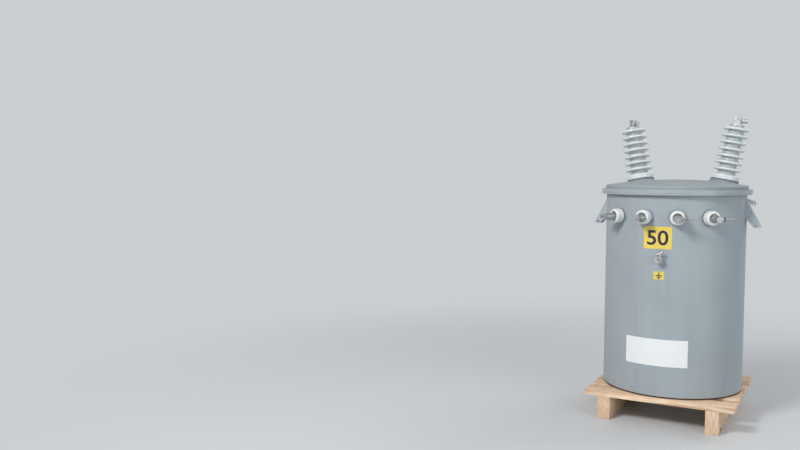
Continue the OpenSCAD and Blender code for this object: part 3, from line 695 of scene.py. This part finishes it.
def fitting_metal(name, colour, roughness, grain_size, shaded_well=False):
    """Plated or tinned metal, mottled by its grain and by stains."""
    made, tree, place = material(name)
    grain = noise(tree, place, scale=1.0 / grain_size, detail=4.0)
    stain = noise(tree, place, scale=60.0, detail=4.0)
    tone = mixed(tree, stain, srgb(colour, -48), srgb(colour, 22))
    # Painted shade: the metal deep in the collar's well, nearest the wall, is darkened.
    if shaded_well:
        reach = off_axis(tree, place, (1, 1, 0))
        well_shade = ranged(tree, reach, WELL_MOUTH_RADIUS, WELL_DEPTH_RADIUS, high=0.9)
        tone = mixed(tree, well_shade, tone, srgb(TERMINAL_WELL_SHADE))
    rough = ranged(tree, stain, 0.3, 0.7, low=roughness - 0.07, high=roughness + 0.1)
    relief = bumped(tree, grain, strength=0.4, distance=0.0003)
    coat(tree, {"Base Color": tone, "Metallic": 0.7, "Roughness": rough, "Normal": relief})
    return made


tinned = fitting_metal("tinned_bronze", (183, 182, 184), roughness=0.44, grain_size=CAST_GRAIN)
tinned_in_shaded_well = fitting_metal("tinned_bronze_with_well_shade", (170, 173, 176), roughness=0.38, grain_size=CAST_GRAIN,
                            shaded_well=True)
zinc = fitting_metal("zinc_plate", (184, 187, 189), roughness=0.40, grain_size=PLATED_GRAIN)
dress(tinned, "hv_terminal_left", "hv_terminal_right", "ground_connector")
dress(tinned_in_shaded_well, *("lv_terminal_%d" % count for count in SEATS))
dress(zinc, "hv_stud_left", "hv_stud_right", "cover_band_bolt", "relief_valve")


# Screw threads
# Rolled and zinc plated threads on the bare lengths of the clamp screws and of the band's bolt, brighter than
# the castings round them. Each is a sharp ridge that winds round its rod.

THREAD_SINK = 0.0002
FLANK = 0.40
STEPS_PER_TURN = 14
SCREW_RADIUS = 0.003
SCREW_PITCH = 0.00125
SCREW_CREST = 0.0006
SCREW_REACH = 0.320
SCREW_DROP = 0.0025
BOLT_RADIUS = 0.005
BOLT_PITCH = 0.0015
BOLT_CREST = 0.0004
BOLT_BARE = 0.025

# The side that each clamp screw points to, where its bare part starts from the bushing's axis, and its length
BARE_PARTS = ((-1, 0.0402, 0.0018), (1, 0.0262, 0.0056), (1, 0.0292, 0.0296), (1, 0.0342, 0.0246))

bright_zinc = fitting_metal("bright_zinc_plate", (214, 217, 219), roughness=0.34, grain_size=PLATED_GRAIN)


def thread(name, start, direction, length, radius, pitch, crest):
    """A helical ridge on a rod, from a start point along a direction."""
    shape = bmesh.new()
    turns = length / pitch
    ridge = [Vector((radius - THREAD_SINK, 0, -FLANK * pitch)), Vector((radius + crest, 0, 0)),
             Vector((radius - THREAD_SINK, 0, FLANK * pitch))]
    shape.faces.new([shape.verts.new(corner) for corner in ridge])
    steps = int(turns * STEPS_PER_TURN)
    bmesh.ops.spin(shape, geom=shape.faces[:], cent=(0, 0, 0), axis=(0, 0, 1), angle=2 * math.pi * turns,
                   dvec=(0, 0, length / steps), steps=steps, use_merge=False)
    bmesh.ops.recalc_face_normals(shape, faces=shape.faces)
    aim = Vector(direction).to_track_quat("Z", "Y").to_matrix()
    bmesh.ops.rotate(shape, verts=shape.verts, cent=(0, 0, 0), matrix=aim)
    bmesh.ops.translate(shape, verts=shape.verts, vec=start)
    finish_object(name, shape, bright_zinc, smooth_angle=35)


for count, (side, bare_from, length) in enumerate(BARE_PARTS, 1):
    middle, angle = middle_and_angle("lv_gasket_%d" % count)
    out = Vector((math.sin(angle), -math.cos(angle), 0))
    sideways = Vector((math.cos(angle), math.sin(angle), 0)) * side
    start = out * SCREW_REACH + sideways * bare_from + Vector((0, 0, middle.z - SCREW_DROP))
    thread("clamp_screw_thread_%d" % count, start, sideways, length, SCREW_RADIUS, SCREW_PITCH,
           SCREW_CREST)

bolt_middle = middle_and_angle("cover_band_bolt")[0]
start = Vector((-BOLT_BARE / 2, bolt_middle.y, bolt_middle.z))
thread("band_bolt_thread", start, (1, 0, 0), BOLT_BARE, BOLT_RADIUS, BOLT_PITCH, BOLT_CREST)


# Plates and label
# Two thin yellow enamelled plates under the bushings, and a white vinyl label near the foot. All follow the
# wall's curve. The large plate carries the rating as plain digits, and the small one a ground mark.

PLATE_THICKNESS = 0.0005
LABEL_THICKNESS = 0.0003
INK_HEIGHT = 0.00015
COLUMN = 0.004

# First and last angle round the wall in degrees, and lower and upper edge
RATING = (-13.5, 8.8, 0.658, 0.740)
GROUND_MARK = (-4.9, 3.4, 0.5456, 0.575)
LABEL = (-28.3, 23.0, 0.2246, 0.3245)


def cut_columns(shape, width):
    """Cuts a flat shape into upright strips, so that it can bend."""
    count = max(2, int(width / COLUMN))
    for step in range(1, count):
        bmesh.ops.bisect_plane(shape, geom=shape.verts[:] + shape.edges[:] + shape.faces[:], dist=1e-7,
                               plane_co=(-width / 2 + width * step / count, 0, 0), plane_no=(1, 0, 0))


def middle_of_plate(first_angle, last_angle, low, high):
    """The angle and the height of a plate's middle."""
    return math.radians((first_angle + last_angle) / 2), (low + high) / 2


def wall_plate(name, place, corner, thickness, finish):
    """A thin plate with rounded corners, bent to the wall."""
    first_angle, last_angle, low, high = place
    width = math.radians(last_angle - first_angle) * TANK_RADIUS
    shape = bmesh.new()
    bmesh.ops.create_grid(shape, x_segments=1, y_segments=1, size=0.5)
    bmesh.ops.scale(shape, verts=shape.verts, vec=(width, high - low, 1))
    bmesh.ops.bevel(shape, geom=shape.verts[:], offset=corner, offset_type="OFFSET", affect="VERTICES",
                    segments=4, profile=0.5, material=-1)
    cut_columns(shape, width)
    grown = bmesh.ops.extrude_face_region(shape, geom=shape.faces[:], use_keep_orig=True)
    raised = [v for v in grown["geom"] if isinstance(v, bmesh.types.BMVert)]
    bmesh.ops.translate(shape, verts=raised, vec=(0, 0, thickness))
    bmesh.ops.recalc_face_normals(shape, faces=shape.faces)
    wrap(shape, *middle_of_plate(*place))
    finish_object(name, shape, finish, smooth_angle=30)


def sheet_paint(name, colour, thin_step, roughness, coat_weight):
    """Smooth paint or vinyl with faint handling marks, darker by a step where it is thin."""
    made, tree, place = material(name)
    smear = noise(tree, place, scale=22.0, detail=4.0)
    tone = mixed(tree, smear, srgb(colour, thin_step), srgb(colour, 5))
    mark = ranged(tree, noise(tree, place, scale=160.0, detail=3.0), 0.6, 0.8, high=0.25)
    tone = mixed(tree, mark, tone, srgb(colour, -50))
    rough = ranged(tree, smear, 0.0, 1.0, low=roughness - 0.06, high=roughness + 0.08)
    coat(tree, {"Base Color": tone, "Roughness": rough, "Coat Weight": coat_weight})
    return made


yellow = sheet_paint("yellow_enamel", (226, 203, 92), thin_step=-10, roughness=0.42, coat_weight=0.1)
navy = sheet_paint("navy_ink", (34, 28, 50), thin_step=-6, roughness=0.5, coat_weight=0.0)
black_ink = sheet_paint("black_ink", (34, 32, 26), thin_step=-6, roughness=0.5, coat_weight=0.0)
vinyl = sheet_paint("white_vinyl", (229, 232, 233), thin_step=-6, roughness=0.36, coat_weight=0.15)

wall_plate("rating_plate", RATING, corner=0.0012, thickness=PLATE_THICKNESS, finish=yellow)
wall_plate("ground_mark_plate", GROUND_MARK, corner=0.0008, thickness=PLATE_THICKNESS, finish=yellow)
wall_plate("blank_label", LABEL, corner=0.0018, thickness=LABEL_THICKNESS, finish=vinyl)


def ink(name, shape, place, finish):
    """Lays a flat closed shape on the middle of a plate and bends it to the wall."""
    width = max(v.co.x for v in shape.verts) - min(v.co.x for v in shape.verts)
    cut_columns(shape, width)
    bmesh.ops.translate(shape, verts=shape.verts, vec=(0, 0, PLATE_THICKNESS))
    bmesh.ops.recalc_face_normals(shape, faces=shape.faces)
    wrap(shape, *middle_of_plate(*place))
    finish_object(name, shape, finish, smooth_angle=30)


# The digits are made a mesh first, and then brought to their size
DIGITS_WIDTH = 0.077
DIGITS_HEIGHT = 0.055
digits_curve = bpy.data.curves.new("digits", "FONT")
digits_curve.body = "50"
digits_curve.offset = 0.016
digits_curve.extrude = 0.01
digits_curve.resolution_u = 8
digits_text = bpy.data.objects.new("digits", digits_curve)
scene.collection.objects.link(digits_text)
bpy.context.view_layer.update()
solid_text = digits_text.evaluated_get(bpy.context.evaluated_depsgraph_get())
digits_mesh = bpy.data.meshes.new_from_object(solid_text)
shape = bmesh.new()
shape.from_mesh(digits_mesh)
bpy.data.objects.remove(digits_text)
bpy.data.curves.remove(digits_curve)
bpy.data.meshes.remove(digits_mesh)
bmesh.ops.remove_doubles(shape, verts=shape.verts, dist=1e-5)
low = Vector([min(v.co[i] for v in shape.verts) for i in range(3)])
high = Vector([max(v.co[i] for v in shape.verts) for i in range(3)])
size = high - low
bmesh.ops.translate(shape, verts=shape.verts, vec=(-(low.x + high.x) / 2, -(low.y + high.y) / 2, -low.z))
bmesh.ops.scale(shape, verts=shape.verts,
                vec=(DIGITS_WIDTH / size.x, DIGITS_HEIGHT / size.y, INK_HEIGHT / size.z))
ink("rating_digits", shape, RATING, navy)

# Stem and three bars of the ground mark, each as middle across, middle up, width and height
MARK_BARS = ((0.0, 0.0065, 0.0036, 0.011), (0.0, -0.0003, 0.022, 0.0036), (0.0, -0.0060, 0.014, 0.0034),
             (0.0, -0.0112, 0.007, 0.0030))
for count, (across_plate, up, width, tall) in enumerate(MARK_BARS):
    shape = bmesh.new()
    bmesh.ops.create_cube(shape, size=1.0)
    bmesh.ops.scale(shape, verts=shape.verts, vec=(width, tall, INK_HEIGHT))
    bmesh.ops.translate(shape, verts=shape.verts, vec=(across_plate, up, INK_HEIGHT / 2))
    ink("ground_mark_bar_%d" % count, shape, GROUND_MARK, black_ink)


scene.view_settings.view_transform = "Standard"
